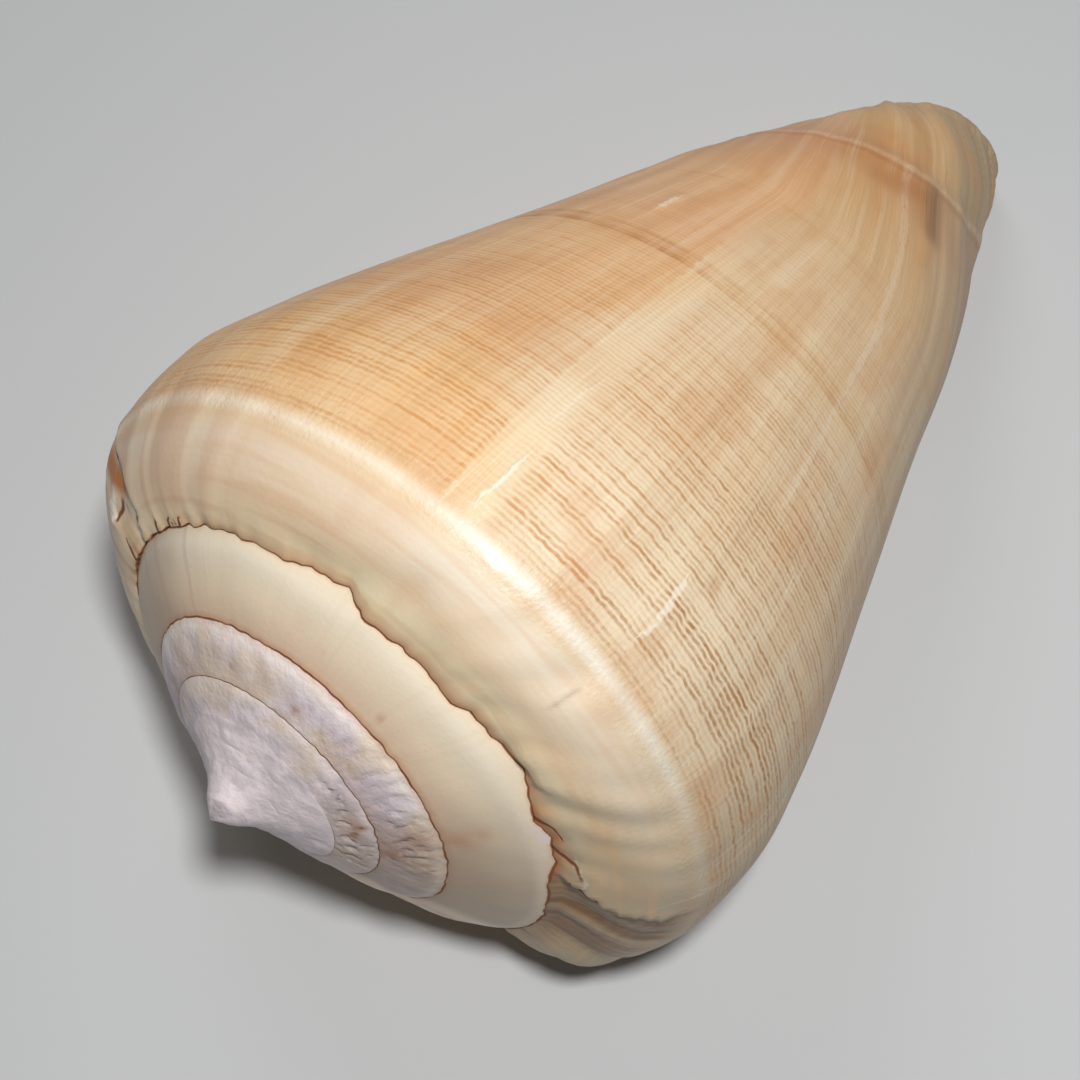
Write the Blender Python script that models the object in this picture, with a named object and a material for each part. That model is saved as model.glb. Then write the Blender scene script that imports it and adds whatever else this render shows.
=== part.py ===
"""Oak cone seashell: one solid, lying on its aperture side on the plane z = 0.

The shell is first described in its own frame. There +Z is the coiling axis, which runs from the apex to the
anterior tip. Growth is counted in turns: it is 0 at the lip, and negative towards the apex. At each stage of
growth the outside of the whorl is one section in the half plane through the axis, from the suture over the
ramp and the shoulder and down the side. The sections are lofted along the coil, the mouth is cut out of the
solid, and the shell is turned into its resting pose.
"""
import math

import bmesh
import bpy
import numpy as np
from mathutils import Matrix

# Size of the shell at the lip, in metres and in its own frame
SIDE_END = 0.085            # height of the anterior tip above the origin of the coil
SUTURE_RADIUS = 0.0201      # suture of the last whorl at the lip
SUTURE_HEIGHT = 0.0090
SHOULDER_RADIUS = 0.0281    # widest ring at the lip
SHOULDER_HEIGHT = 0.0204
APEX_DROP = 0.00245         # the pointed apex stands this far out of the spire's cone
APEX_REACH = 0.00245        # radius over which the apex flares into the spire
TIP_CENTRE = 0.082          # where the anterior end closes on the axis

# Growth along the coil
GROWTH = 0.389              # growth of the suture's radius, per turn, as an exponent
GROWTH_CHANGE = 0.009
EARLY_TURNS = -3.6          # before this stage the growth is a plain spiral
SPIRE_POWER = 1.47          # height of the suture against its radius
HEIGHT_GROWTH = 0.118       # growth of the side's length, per turn, as an exponent
SHOULDER_LAG = 0.0022       # how much narrower the shoulder gets, per turn, against the suture
FIRST_TURN = -6.0
APEX_TURN = -10.0           # the coil is closed with the height it would have here

# Section of the whorl
RAMP_LENGTH = 0.0086        # straight run of the ramp from the suture, at the lip
RAMP_RISE = math.radians(5)
SHOULDER_BEND = 0.0029      # straight run of the side above the widest ring
EDGE_BEND = 0.0011          # rounding of an older whorl beyond the suture
RAMP_SWELL = 0.0004         # an older ramp stands this much out of its straight line, at the lip's scale
ATTACH = 0.48               # share of the ramp and shoulder curve that the next whorl leaves bare
OLD_FROM = -0.7             # from here to one turn back, the section changes to that of the spire
SIDE_PROFILE = ((0.0, 1.0), (0.1, 0.957), (0.2, 0.886), (0.35, 0.766), (0.5, 0.645),
                (0.65, 0.533), (0.8, 0.389), (0.92, 0.272), (1.0, 0.166))
RIM = 0.96                  # share of the side where the anterior end starts to round over
CHORD = 0.01                # step of the share over which the direction of a curve is taken
HALVINGS = 24               # steps of the search for a point of the curve at a height

# Mouth and the space inside
LIP_THICKNESS = 0.0012
WALL = 0.0023
LIP_TAPER = 0.10            # turns over which the wall thins to the lip
INNER_LIP = 0.0005          # glaze over the older whorl inside the mouth
COLUMELLA = 0.0019          # least radius of the pillar on the axis
MOUTH_BACK = 0.30           # share of the ramp and shoulder curve where the mouth's rear corner lies
MOUTH_TURNOVER = 0.97       # share of that curve where the space passes over to the side
SIDE_START = 0.02           # and share of the side where it goes on
LEAST_GAP = 0.0006          # the space is nowhere narrower than this
MOUTH_DEPTH = -0.8375       # turns that the space reaches inwards
MOUTH_FRONT = 0.0375        # turns that the cut runs out past the lip
CANAL_OPEN = -0.28          # the front end is open between this stage and the lip
CANAL_SHUT = -0.42          # and closed before this one
CANAL_END = 0.88            # share of the side where the space ends when it is closed
CANAL_CAP = 0.0015          # length of the space beyond that share
CANAL_RUN_OUT = 0.012       # and what is added to it where the front end is open

# Resting pose
REST_ROLL = math.radians(38.5)   # turn about the coiling axis, which then lies over the Y axis
REST_DIP = math.radians(15.5)    # the anterior tip points along +Y, and this much down
REST_CUT = 0.0004                # the spots that the shell rests on are worn flat this deep
REST_CUTTER = 0.2                # size of the block that cuts them

# Fineness
STEPS = 40                  # rows of vertices per turn
RAMP_COLUMNS = 4
SHOULDER_COLUMNS = 5
SIDE_COLUMNS = 13
END_COLUMNS = 4

# Looks
SHELL_COLOUR = (0.80, 0.62, 0.42, 1.0)
SHELL_ROUGHNESS = 0.3
CREASE = math.radians(40)


def smooth(x):
    x = min(max(x, 0.0), 1.0)
    return x * x * (3.0 - 2.0 * x)


def growth(turn):
    """Radius at a stage of growth, against that at the lip."""
    late = max(turn, EARLY_TURNS)
    early_slope = GROWTH + 2.0 * GROWTH_CHANGE * EARLY_TURNS
    return math.exp(GROWTH * late + GROWTH_CHANGE * late * late + early_slope * (turn - late))


def suture(turn):
    """Radius and height of the line along which a whorl meets the one before it."""
    radius = SUTURE_RADIUS * growth(turn)
    height = SUTURE_HEIGHT * growth(turn) ** SPIRE_POWER - APEX_DROP * math.exp(-radius / APEX_REACH)
    return np.array([radius, height])


def shoulder(turn):
    """Widest point of the whorl at a stage of growth."""
    radius = (SHOULDER_RADIUS - SHOULDER_LAG * max(turn, -1.0)) * growth(turn)
    rise = (SHOULDER_HEIGHT - SUTURE_HEIGHT) * math.exp(HEIGHT_GROWTH * turn)
    return np.array([radius, suture(turn)[1] + rise])


def side_end(turn):
    """Height at which the side of the whorl ends."""
    return suture(turn)[1] + (SIDE_END - SUTURE_HEIGHT) * math.exp(HEIGHT_GROWTH * turn)


def bezier(a, b, c, d, u):
    v = 1.0 - u
    return v ** 3 * a + 3.0 * v * v * u * b + 3.0 * v * u * u * c + u ** 3 * d


def late_ramp(turn, u):
    """Ramp and rounded shoulder of the last whorl, from the suture (0) to the widest point (1)."""
    start = suture(turn)
    end = shoulder(turn)
    run = RAMP_LENGTH * growth(turn)
    after = start + run * np.array([math.cos(RAMP_RISE), math.sin(RAMP_RISE)])
    before = end - np.array([0.0, SHOULDER_BEND * math.exp(HEIGHT_GROWTH * turn)])
    return bezier(start, after, before, end, u)


def early_ramp(turn, u):
    """The same curve on the spire: a nearly straight ramp up to the next suture, and a bend past it."""
    start = suture(turn)
    edge = suture(turn + 1.0)
    slope = (edge - start) / np.linalg.norm(edge - start)
    if u <= ATTACH:
        share = u / ATTACH
        swell = RAMP_SWELL * growth(turn) * share * share * (1.0 - share) * 27.0 / 4.0
        return start + (edge - start) * share + swell * np.array([slope[1], -slope[0]])
    end = shoulder(turn)
    after = edge + EDGE_BEND * slope
    before = end - np.array([0.0, SHOULDER_BEND * math.exp(HEIGHT_GROWTH * turn)])
    return bezier(edge, after, before, end, (u - ATTACH) / (1.0 - ATTACH))


def ramp(turn, u):
    age = smooth((OLD_FROM - turn) / (OLD_FROM + 1.0))
    if age >= 1.0:
        return early_ramp(turn, u)
    if age <= 0.0:
        return late_ramp(turn, u)
    return late_ramp(turn, u) * (1.0 - age) + early_ramp(turn, u) * age


def side_shape():
    """Smooth curve through the side's profile: its slopes are those of the chords around each point."""
    places = [p for p, _ in SIDE_PROFILE]
    widths = [w for _, w in SIDE_PROFILE]
    slopes = [0.0]
    for k in range(1, len(places) - 1):
        slopes.append((widths[k + 1] - widths[k - 1]) / (places[k + 1] - places[k - 1]))
    slopes.append((widths[-1] - widths[-2]) / (places[-1] - places[-2]))

    def width(place):
        k = max(i for i in range(len(places) - 1) if places[i] <= place or i == 0)
        gap = places[k + 1] - places[k]
        x = (place - places[k]) / gap
        start = (1.0 + 2.0 * x) * (1.0 - x) ** 2 * widths[k] + x * (1.0 - x) ** 2 * gap * slopes[k]
        end = x * x * (3.0 - 2.0 * x) * widths[k + 1] + x * x * (x - 1.0) * gap * slopes[k + 1]
        return start + end

    return width


SIDE_WIDTH = side_shape()


def side(turn, place):
    """Side of the whorl, from its widest point (0) to its anterior end (1)."""
    wide = shoulder(turn)
    height = wide[1] + (side_end(turn) - wide[1]) * place
    return np.array([wide[0] * SIDE_WIDTH(place), height])


def front_end(turn, place):
    """Rounded anterior end, from the rim of the side (0) to the axis (1)."""
    rim = side(turn, RIM)
    angle = place * math.pi / 2.0
    top = side_end(turn) + (TIP_CENTRE - side_end(turn)) * (1.0 - math.cos(angle))
    return np.array([rim[0] * math.cos(angle), rim[1] + (top - rim[1]) * math.sin(angle)])


def section(turn):
    """Outside of the whorl from the suture to the axis, as points of radius and height."""
    points = [ramp(turn, ATTACH * k / RAMP_COLUMNS) for k in range(RAMP_COLUMNS)]
    for k in range(SHOULDER_COLUMNS):
        points.append(ramp(turn, ATTACH + (1.0 - ATTACH) * k / SHOULDER_COLUMNS))
    for k in range(SIDE_COLUMNS):
        points.append(side(turn, RIM * k / SIDE_COLUMNS))
    for k in range(END_COLUMNS + 1):
        points.append(front_end(turn, k / END_COLUMNS))
    return points


def place_point(point, turn):
    angle = 2.0 * math.pi * turn
    return (point[0] * math.cos(angle), point[0] * math.sin(angle), point[1])


def new_object(name, bm, collection):
    mesh = bpy.data.meshes.new(name)
    bm.to_mesh(mesh)
    bm.free()
    mesh.shade_smooth()
    mesh.set_sharp_from_angle(angle=CREASE)
    item = bpy.data.objects.new(name, mesh)
    collection.objects.link(item)
    return item


def whorls(collection):
    """Outer skin of the whole coil, closed by a flat step at the lip."""
    rows = round(-FIRST_TURN * STEPS)
    body = rows - STEPS
    bm = bmesh.new()
    grid = {}
    tip = bm.verts.new((0.0, 0.0, TIP_CENTRE))
    for i in range(rows + 1):
        turn = (i - rows) / STEPS
        if i < body:
            points = [ramp(turn, ATTACH * k / RAMP_COLUMNS) for k in range(RAMP_COLUMNS + 1)]
        else:
            points = section(turn)[:-1]
        for j, point in enumerate(points):
            if j == 0 and i >= STEPS:
                grid[i, 0] = grid[i - STEPS, RAMP_COLUMNS]
            else:
                grid[i, j] = bm.verts.new(place_point(point, turn))
    last = max(j for i, j in grid if i == rows)
    for i in range(rows):
        width = RAMP_COLUMNS if i < body else last
        for j in range(width):
            bm.faces.new((grid[i, j], grid[i + 1, j], grid[i + 1, j + 1], grid[i, j + 1]))
        if i >= body:
            bm.faces.new((grid[i, last], grid[i + 1, last], tip))
    # The first turn closes on the apex
    apex = bm.verts.new((0.0, 0.0, suture(APEX_TURN)[1]))
    ring = [grid[i, 0] for i in range(STEPS + 1)]
    ring += [grid[0, j] for j in range(RAMP_COLUMNS - 1, -1, -1)]
    for a, b in zip(ring, ring[1:]):
        bm.faces.new((apex, b, a))
    # The step at the lip, from the last section down to the whorl under it
    for j in range(1, RAMP_COLUMNS):
        bm.faces.new((grid[rows, 0], grid[rows, j], grid[rows, j + 1]))
    for j in range(RAMP_COLUMNS, last):
        if j == RAMP_COLUMNS:
            bm.faces.new((grid[rows, j], grid[rows, j + 1], grid[body, j + 1], grid[rows, 0]))
        else:
            bm.faces.new((grid[rows, j], grid[rows, j + 1], grid[body, j + 1], grid[body, j]))
    bm.faces.new((grid[rows, last], tip, grid[body, last]))
    bmesh.ops.triangulate(bm, faces=bm.faces)
    bmesh.ops.recalc_face_normals(bm, faces=bm.faces)
    return new_object("shell", bm, collection)


def inward(curve, share, distance):
    """Point at a distance inside a curve of radius and height."""
    here = curve(share)
    along = curve(share + CHORD) - curve(share - CHORD)
    along /= np.linalg.norm(along)
    return here + distance * np.array([-along[1], along[0]])


def outside_radius(turn, height):
    """Radius of an older whorl's outside at a height, found by halving."""
    if height < shoulder(turn)[1]:
        low, high, curve = ATTACH, 1.0, lambda u: ramp(turn, u)
    elif height < side(turn, RIM)[1]:
        low, high, curve = 0.0, RIM, lambda u: side(turn, u)
    else:
        low, high, curve = 0.0, 1.0, lambda u: front_end(turn, u)
    for _ in range(HALVINGS):
        middle = (low + high) / 2.0
        if curve(middle)[1] < height:
            low = middle
        else:
            high = middle
    return float(curve(low)[0])


def mouth_section(turn):
    """Closed outline of the space inside the whorl: under its wall, and back along the whorl before."""
    stage = min(turn, 0.0)
    thin = smooth(-stage / LIP_TAPER)
    wall = LIP_THICKNESS + (WALL - LIP_THICKNESS) * thin
    opening = smooth((stage - CANAL_SHUT) / (CANAL_OPEN - CANAL_SHUT))
    outer = []
    for k in range(SHOULDER_COLUMNS):
        share = MOUTH_BACK + (MOUTH_TURNOVER - MOUTH_BACK) * k / SHOULDER_COLUMNS
        outer.append(inward(lambda u: ramp(stage, u), share, wall))
    reach = CANAL_END + (RIM - CANAL_END) * opening
    for k in range(SIDE_COLUMNS):
        share = SIDE_START + (reach - SIDE_START) * k / (SIDE_COLUMNS - 1)
        outer.append(inward(lambda u: side(stage, u), share, wall))
    outer.append(outer[-1] + np.array([0.0, CANAL_CAP + CANAL_RUN_OUT * opening]))
    inner = []
    for point in outer:
        radius = max(outside_radius(stage - 1.0, point[1]) + INNER_LIP, COLUMELLA)
        inner.append(np.array([min(radius, point[0] - LEAST_GAP), point[1]]))
    return outer + inner[::-1]


def mouth(collection):
    """Cutter for the mouth, the canal and the space inside the last whorl."""
    count = round((MOUTH_FRONT - MOUTH_DEPTH) * STEPS) + 1
    bm = bmesh.new()
    loops = []
    for i in range(count):
        turn = MOUTH_DEPTH + i / STEPS
        loops.append([bm.verts.new(place_point(p, turn)) for p in mouth_section(turn)])
    for a, b in zip(loops, loops[1:]):
        for j in range(len(a)):
            k = (j + 1) % len(a)
            bm.faces.new((a[j], a[k], b[k], b[j]))
    # Each end is closed by a ladder between the outer line and the inner one
    for loop in (loops[0], loops[-1]):
        for j in range(len(loop) // 2 - 1):
            bm.faces.new((loop[j], loop[j + 1], loop[-j - 2], loop[-j - 1]))
    bmesh.ops.triangulate(bm, faces=bm.faces)
    bmesh.ops.recalc_face_normals(bm, faces=bm.faces)
    return new_object("mouth_cutter", bm, collection)


def ground(collection):
    """Cutter for the flat spots: a block whose top is the plane z = 0."""
    bm = bmesh.new()
    bmesh.ops.create_cube(bm, size=REST_CUTTER)
    bmesh.ops.translate(bm, verts=bm.verts, vec=(0.0, 0.0, -REST_CUTTER / 2.0))
    return new_object("rest_cutter", bm, collection)


def subtract(item, cutter):
    cutter.hide_render = True
    cutter.display_type = "WIRE"
    cut = item.modifiers.new(cutter.name, "BOOLEAN")
    cut.operation = "DIFFERENCE"
    cut.solver = "EXACT"
    cut.object = cutter


def bounds(item):
    """Least and greatest coordinates of an object with its modifiers."""
    ready = item.evaluated_get(bpy.context.evaluated_depsgraph_get())
    points = np.array([ready.matrix_world @ v.co for v in ready.data.vertices])
    return points.min(axis=0), points.max(axis=0)


def main():
    for item in list(bpy.data.objects):
        bpy.data.objects.remove(item, do_unlink=True)
    parts = bpy.data.collections.new("oak_cone")
    cutters = bpy.data.collections.new("cutters")
    bpy.context.scene.collection.children.link(parts)
    bpy.context.scene.collection.children.link(cutters)

    shell = whorls(parts)
    mouth_cutter = mouth(cutters)
    subtract(shell, mouth_cutter)

    # The shell lies on its aperture side, with its bounding box centred over the origin
    pose = Matrix.Rotation(-(math.pi / 2.0 + REST_DIP), 4, "X") @ Matrix.Rotation(REST_ROLL, 4, "Z")
    shell.matrix_world = pose
    mouth_cutter.matrix_world = pose
    low, high = bounds(shell)
    middle = (low + high) / 2.0
    pose = Matrix.Translation((-middle[0], -middle[1], -low[2] - REST_CUT)) @ pose
    shell.matrix_world = pose
    mouth_cutter.matrix_world = pose
    subtract(shell, ground(cutters))

    material = bpy.data.materials.new("shell")
    material.use_nodes = True
    surface = material.node_tree.nodes["Principled BSDF"]
    surface.inputs["Base Color"].default_value = SHELL_COLOUR
    surface.inputs["Roughness"].default_value = SHELL_ROUGHNESS
    surface.inputs["Metallic"].default_value = 0.0
    shell.data.materials.append(material)


main()
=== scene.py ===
"""Oak cone seashell on a pale floor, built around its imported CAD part.

Lengths inside the shell's own sections are in millimetres, and are scaled to metres when a mesh is made.
Growth is counted in turns: 0 at the lip and negative towards the apex. A point of a section is a complex
number: its radius from the coiling axis, plus i times its height above the origin of the coil.
"""
import math

import bmesh
import bpy
import numpy as np
from mathutils import Matrix, Vector, noise


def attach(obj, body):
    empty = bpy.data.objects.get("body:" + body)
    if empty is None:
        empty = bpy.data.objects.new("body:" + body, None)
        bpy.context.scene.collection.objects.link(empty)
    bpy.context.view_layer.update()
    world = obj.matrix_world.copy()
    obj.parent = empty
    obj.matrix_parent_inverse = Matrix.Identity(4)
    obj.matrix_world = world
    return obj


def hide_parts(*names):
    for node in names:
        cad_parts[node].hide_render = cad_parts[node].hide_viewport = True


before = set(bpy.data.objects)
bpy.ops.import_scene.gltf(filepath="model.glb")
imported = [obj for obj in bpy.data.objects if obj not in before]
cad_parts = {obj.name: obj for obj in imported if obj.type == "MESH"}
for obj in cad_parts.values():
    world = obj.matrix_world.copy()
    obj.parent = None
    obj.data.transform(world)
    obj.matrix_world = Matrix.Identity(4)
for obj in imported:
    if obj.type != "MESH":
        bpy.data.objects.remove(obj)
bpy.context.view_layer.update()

# The shell: one hollow coil of aragonite, laid down by the snail from the apex to the lip.
# Its outside is a section swept along the coil, and the space inside is cut out through the mouth.
# It lies on the last whorl and on the edge of the lip, on spots worn flat.
MILLIMETRE = 0.001

# Sizes of the coil and its section, which are those of the part
SIDE_END = 85.0
SUTURE_RADIUS = 20.1
SUTURE_HEIGHT = 9.0
SHOULDER_RADIUS = 28.1
SHOULDER_HEIGHT = 20.4
APEX_DROP = 2.45
APEX_REACH = 2.45
TIP_CENTRE = 82.0
GROWTH = 0.389
GROWTH_CHANGE = 0.009
EARLY_TURNS = -3.6
SPIRE_POWER = 1.47
HEIGHT_GROWTH = 0.118
SHOULDER_LAG = 2.2
FIRST_TURN = -9
RAMP_LENGTH = 8.6
RAMP_RISE = math.radians(5)
SHOULDER_BEND = 2.9
EDGE_BEND = 1.1
RAMP_SWELL = 0.4
ATTACH = 0.48
OLD_FROM = -0.7
SIDE_PLACES = (0.0, 0.1, 0.2, 0.35, 0.5, 0.65, 0.8, 0.92, 1.0)
SIDE_WIDTHS = (1.0, 0.957, 0.886, 0.766, 0.645, 0.533, 0.389, 0.272, 0.166)
RIM = 0.96
ROWS = 330                  # rows of vertices in a turn, evenly spaced
LIP_ROWS = (-0.0024, -0.0017, -0.0011, -0.0006, -0.0002)
RAMP_COLUMNS = 13
SHOULDER_COLUMNS = 14
SIDE_COLUMNS = 104
END_COLUMNS = 14
REST_ROLL = math.radians(38.5)
REST_DIP = math.radians(15.5)
REST_PLACE = (-0.0019338, -0.0389294, 0.0255330)


def smooth(x):
    x = np.clip(x, 0.0, 1.0)
    return x * x * (3.0 - 2.0 * x)


def growth(turn):
    late = np.maximum(turn, EARLY_TURNS)
    early_slope = GROWTH + 2.0 * GROWTH_CHANGE * EARLY_TURNS
    return np.exp(GROWTH * late + GROWTH_CHANGE * late * late + early_slope * (turn - late))


def suture(turn):
    radius = SUTURE_RADIUS * growth(turn)
    height = SUTURE_HEIGHT * growth(turn) ** SPIRE_POWER - APEX_DROP * np.exp(-radius / APEX_REACH)
    return radius + 1j * height


def shoulder(turn):
    radius = (SHOULDER_RADIUS - SHOULDER_LAG * np.maximum(turn, -1.0)) * growth(turn)
    rise = (SHOULDER_HEIGHT - SUTURE_HEIGHT) * np.exp(HEIGHT_GROWTH * turn)
    return radius + 1j * (suture(turn).imag + rise)


def side_end(turn):
    return suture(turn).imag + (SIDE_END - SUTURE_HEIGHT) * np.exp(HEIGHT_GROWTH * turn)


def bezier(a, b, c, d, u):
    v = 1.0 - u
    return v ** 3 * a + 3.0 * v * v * u * b + 3.0 * v * u * u * c + u ** 3 * d


def late_ramp(turn, u):
    start = suture(turn)
    end = shoulder(turn)
    after = start + RAMP_LENGTH * growth(turn) * np.exp(1j * RAMP_RISE)
    before = end - 1j * SHOULDER_BEND * np.exp(HEIGHT_GROWTH * turn)
    return bezier(start, after, before, end, u)


def early_ramp(turn, u):
    start = suture(turn)
    edge = suture(turn + 1.0)
    slope = (edge - start) / np.abs(edge - start)
    share = np.minimum(u / ATTACH, 1.0)
    swell = RAMP_SWELL * growth(turn) * (0.1 + 0.9 * smooth((turn + 4.4) / 1.2))
    swell = swell * share * share * (1.0 - share) * 27.0 / 4.0
    end = shoulder(turn)
    before = end - 1j * SHOULDER_BEND * np.exp(HEIGHT_GROWTH * turn)
    rest = np.maximum((u - ATTACH) / (1.0 - ATTACH), 0.0)
    straight = start + (edge - start) * share - 1j * slope * swell
    return np.where(u <= ATTACH, straight, bezier(edge, edge + EDGE_BEND * slope, before, end, rest))


def ramp(turn, u):
    age = smooth((OLD_FROM - turn) / (OLD_FROM + 1.0))
    return late_ramp(turn, u) * (1.0 - age) + early_ramp(turn, u) * age


def side(turn, place):
    places = np.array(SIDE_PLACES)
    widths = np.array(SIDE_WIDTHS)
    slopes = np.zeros(len(places))
    slopes[1:-1] = (widths[2:] - widths[:-2]) / (places[2:] - places[:-2])
    slopes[-1] = (widths[-1] - widths[-2]) / (places[-1] - places[-2])
    k = np.clip(np.searchsorted(places, place, side="right") - 1, 0, len(places) - 2)
    gap = places[k + 1] - places[k]
    x = (place - places[k]) / gap
    width = (1.0 + 2.0 * x) * (1.0 - x) ** 2 * widths[k] + x * (1.0 - x) ** 2 * gap * slopes[k]
    width = width + x * x * (3.0 - 2.0 * x) * widths[k + 1] + x * x * (x - 1.0) * gap * slopes[k + 1]
    wide = shoulder(turn)
    return wide.real * width + 1j * (wide.imag + (side_end(turn) - wide.imag) * place)


def front_end(turn, place):
    rim = side(turn, np.array(RIM))
    angle = place * math.pi / 2.0
    top = side_end(turn) + (TIP_CENTRE - side_end(turn)) * (1.0 - np.cos(angle))
    return rim.real * np.cos(angle) + 1j * (rim.imag + (top - rim.imag) * np.sin(angle))


ramp_shares = ATTACH * (1.0 - np.cos(np.pi * np.arange(RAMP_COLUMNS + 1) / RAMP_COLUMNS)) / 2.0
shoulder_shares = ATTACH + (1.0 - ATTACH) * np.arange(1, SHOULDER_COLUMNS + 1) / SHOULDER_COLUMNS
side_shares = RIM * np.arange(1, SIDE_COLUMNS + 1) / SIDE_COLUMNS
end_shares = np.arange(1, END_COLUMNS) / END_COLUMNS


def section(turn):
    """Outside of the last whorl at a column of turns, from the suture to just short of the axis."""
    shares = np.append(ramp_shares, shoulder_shares)[None, :]
    parts = [ramp(turn, shares), side(turn, side_shares[None, :]), front_end(turn, end_shares[None, :])]
    return np.concatenate(parts, axis=1)


def normals(curve):
    """Unit normal, outwards, at each point of each section."""
    along = np.gradient(curve, axis=1)
    return -1j * along / np.abs(along)


# Growth stages: the same rows in every turn, closer together just before the lip
one_turn = np.sort(np.append(np.arange(ROWS) / ROWS - 1.0, LIP_ROWS))
steps = len(one_turn)
stages = np.concatenate([one_turn + k for k in range(FIRST_TURN + 1, 1)] + [[0.0]])[:, None]
rows = len(stages) - 1
body = rows - steps

old = ramp(stages[:body], ramp_shares[None, :])
new = section(stages[body:])
old_across = np.broadcast_to(ramp_shares / ATTACH, old.shape)


def arc(curve):
    lengths = np.abs(np.diff(curve, axis=1))
    return np.concatenate([np.zeros((len(curve), 1)), np.cumsum(lengths, axis=1)], axis=1)


new_arc = arc(new)
whole = new_arc[:, -1:] + np.abs(new[:, -1:].real)
new_s = new_arc / whole
old_arc = arc(old)
old_s = old_arc / (whole[0] * growth(stages[:body]) / growth(-1.0))
new_turn = np.broadcast_to(stages[body:], new.shape)
old_turn = np.broadcast_to(stages[:body], old.shape)

# A growth line leans forward over the ramp and runs back on the anterior end
LAG_PLACES = (0.0, 0.03, 0.05, 0.07, 0.09, 0.11, 0.62, 0.70, 0.74, 0.77, 0.79, 0.86, 0.90, 1.0)
LAG_TURNS = (-0.028, -0.024, -0.017, -0.008, -0.002, 0.0, 0.0, -0.022, -0.04, -0.052, -0.06, -0.11,
             -0.18, -0.35)
lag_places = np.linspace(0.0, 1.0, 201)
blur = np.hanning(13) / np.hanning(13).sum()
lag_turns = np.pad(np.interp(lag_places, LAG_PLACES, LAG_TURNS), 6, mode="edge")
lag_turns = np.convolve(lag_turns, blur, mode="valid")


def growth_line(turn, s):
    """Stage of growth of a point: points that were laid down at the same time have the same value."""
    lean = np.where(s < 0.11, 0.35 + 0.65 * smooth((turn + 0.36) / 0.1), 1.0)
    return turn - np.interp(s, lag_places, lag_turns) * lean


def rough(a, b, seed):
    """Smooth noise of two coordinates, about -0.5 to 0.5."""
    a, b = np.broadcast_arrays(a, b)
    pairs = zip(a.ravel().tolist(), b.ravel().tolist())
    values = [noise.noise(Vector((x, y, seed))) for x, y in pairs]
    return np.array(values).reshape(a.shape)


new_growth = growth_line(new_turn, new_s)

# Edges of the whorls: an older whorl rolls over into the suture, which wanders by a fraction of a millimetre
EDGE_ROLL = 0.06
WANDER_TURNS = (-1.0, -0.6, -0.45, -0.39, -0.37, -0.35, -0.345, -0.335, -0.33, -0.30, -0.29, -0.265,
                -0.255, -0.24, -0.21, -0.19, -0.175, -0.17, -0.16, -0.14, -0.12, -0.09, -0.04, 0.0)
WANDER = (0.0, 0.0, 0.1, -0.2, 0.2, 0.45, 0.5, 0.0, -0.5, -0.3, -0.15, -0.5,
          0.0, 0.3, 0.65, 0.0, -0.4, 0.0, 0.25, 0.1, -0.6, -0.5, -0.2, 0.0)


def wander(turn):
    """How far the suture strays outwards, in millimetres. Its last turn follows the photo."""
    seen = smooth((turn + 2.6) / 0.5)
    known = np.interp(turn, WANDER_TURNS, WANDER) + 0.26 * rough(turn * 120.0, turn * 0.0, 6.1)
    older = 0.22 * growth(turn) * rough(turn * 14.0, turn * 0.0, 3.7)
    older = (older + 0.13 * rough(turn * 110.0, turn * 0.0, 5.2)) * seen
    return np.where(turn > -1.0, known, older)


def near(path):
    """Distance in millimetres from each vertex of the last whorl to a path of (turn, share) points.

    The share is that of the section's arc. The second result is 1 on one side of the path and -1 on the
    other: 1 is the newer side of a path towards the front end, and the spire's side of one round the coil.
    """
    best = np.full(new.shape, 1e9)
    which = np.zeros(new.shape)
    around = 2.0 * np.pi * new.real
    for (turn_a, s_a), (turn_b, s_b) in zip(path, path[1:]):
        run = (turn_b - turn_a) * around, (s_b - s_a) * whole
        off = (new_turn - turn_a) * around, (new_s - s_a) * whole
        share = np.clip((off[0] * run[0] + off[1] * run[1]) / (run[0] ** 2 + run[1] ** 2), 0.0, 1.0)
        distance = np.hypot(off[0] - share * run[0], off[1] - share * run[1])
        turned = np.sign(off[0] * run[1] - off[1] * run[0])
        which = np.where(distance < best, turned, which)
        best = np.minimum(best, distance)
    return best, which


def signed_distance(path):
    """Distance to a path in millimetres, positive where the side that near gives is 1."""
    distance, which = near(path)
    return distance * which


def ridge(path, width, height):
    return height * np.exp(-(near(path)[0] / width) ** 2)


old_scale = growth(stages[:body]) / growth(-1.0)
outer_shift = np.zeros((rows + 1, 1), complex)
chord = old[:, -1:] - old[:, -2:-1]
chord = chord / np.abs(chord)
roll = 1j * chord * EDGE_ROLL * old_scale * smooth((stages[:body] + 3.6) / 0.6)
outer_shift[:body] = chord * wander(stages[:body] + 1.0) + roll

# Unevenness of the last whorl, in millimetres outwards: slow swells, growth ridges, and the folds of the
# ramp, which are stronger towards the lip
on_ramp = 1.0 - smooth((new_s - 0.085) / 0.035)
late = smooth((new_turn + 0.34) / 0.12)
relief = 0.22 * rough(new_turn * 7.0, new_s * 5.0, 1.0)
relief += 0.11 * rough(new_growth * 40.0, new_s * 4.0, 2.0)
relief += 0.06 * rough(new_growth * 90.0, new_s * 6.0, 5.0)
relief += 0.44 * rough(new_growth * 33.0, new_s * 9.0, 9.0) * on_ramp * late
relief += 0.26 * rough(new_growth * 75.0, new_s * 8.0, 14.0) * on_ramp * late

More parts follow.
